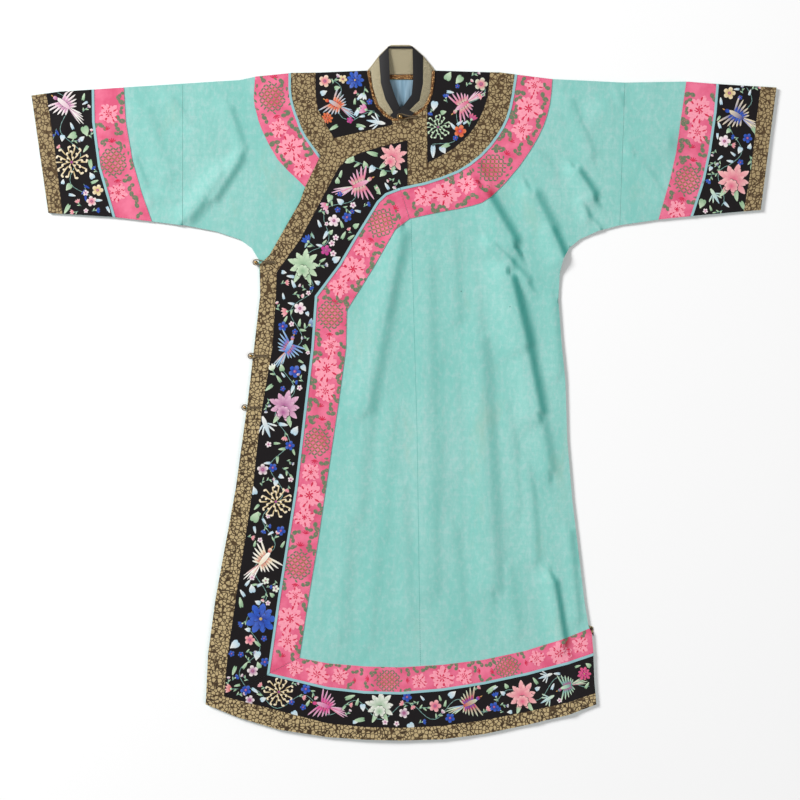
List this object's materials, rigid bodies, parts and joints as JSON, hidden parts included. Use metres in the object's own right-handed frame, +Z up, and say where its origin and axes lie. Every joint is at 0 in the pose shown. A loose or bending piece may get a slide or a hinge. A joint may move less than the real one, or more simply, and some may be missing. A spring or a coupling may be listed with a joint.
{
  "type": "chinese silk robe",
  "caption": "Woman's silk robe laid flat, front up, sleeves spread: aqua damask closed at the side, with embroidered black bands, gold bindings, pink ribbons and a standing collar.",
  "frame": {"origin": "on the surface the robe lies on, below the middle of its box", "axes": "+Z up out of the front, +Y to the collar, +X to the wearer's left sleeve"},
  "size_m": [1.4876, 1.3896, 0.0161],
  "materials": {
    "silk": "aqua silk damask, faded and stained in places",
    "satin": "black satin, embroidered with flowers, birds and leaves",
    "brocade": "gold brocade with dark brown cells",
    "ribbon": "pink woven silk ribbon with peonies and medallions",
    "piping": "pale aqua silk piping",
    "lining": "pale blue silk lining",
    "twill": "beige and gold fine twill",
    "edging": "matte black silk edging",
    "gold_piping": "gold brown silk piping",
    "gilt": "worn gilt brass",
    "cord": "gold brown silk cord"
  },
  "bodies": {
    "root": {"body_left": "silk", "body_right": "silk", "button_side_lower": "gilt", "button_side_upper": "gilt", "button_throat": "gilt", "button_underarm": "gilt", "centre_binding": "brocade", "collar": "twill", "collar_edging": "edging", "collar_piping": "gold_piping", "cuff_left_band": "satin", "cuff_left_binding": "brocade", "cuff_left_piping": "piping", "cuff_left_ribbon": "ribbon", "cuff_right_band": "satin", "cuff_right_binding": "brocade", "cuff_right_piping": "piping", "cuff_right_ribbon": "ribbon", "front_band": "satin", "front_binding": "brocade", "front_overlap": "silk", "front_piping": "piping", "front_ribbon": "ribbon", "hem_band": "satin", "hem_binding": "brocade", "hem_piping": "piping", "hem_ribbon": "ribbon", "loop_side_lower": "cord", "loop_side_upper": "cord", "loop_throat": "cord", "loop_underarm": "cord", "neck_cord": "cord", "neck_lining": "lining", "sleeve_left": "silk", "sleeve_right": "silk", "slit_tab": "brocade", "yoke_left_band": "satin", "yoke_left_binding": "brocade", "yoke_left_piping": "piping", "yoke_left_ribbon": "ribbon", "yoke_right_band": "satin", "yoke_right_binding": "brocade", "yoke_right_piping": "piping", "yoke_right_ribbon": "ribbon"}
  },
  "joints": []
}
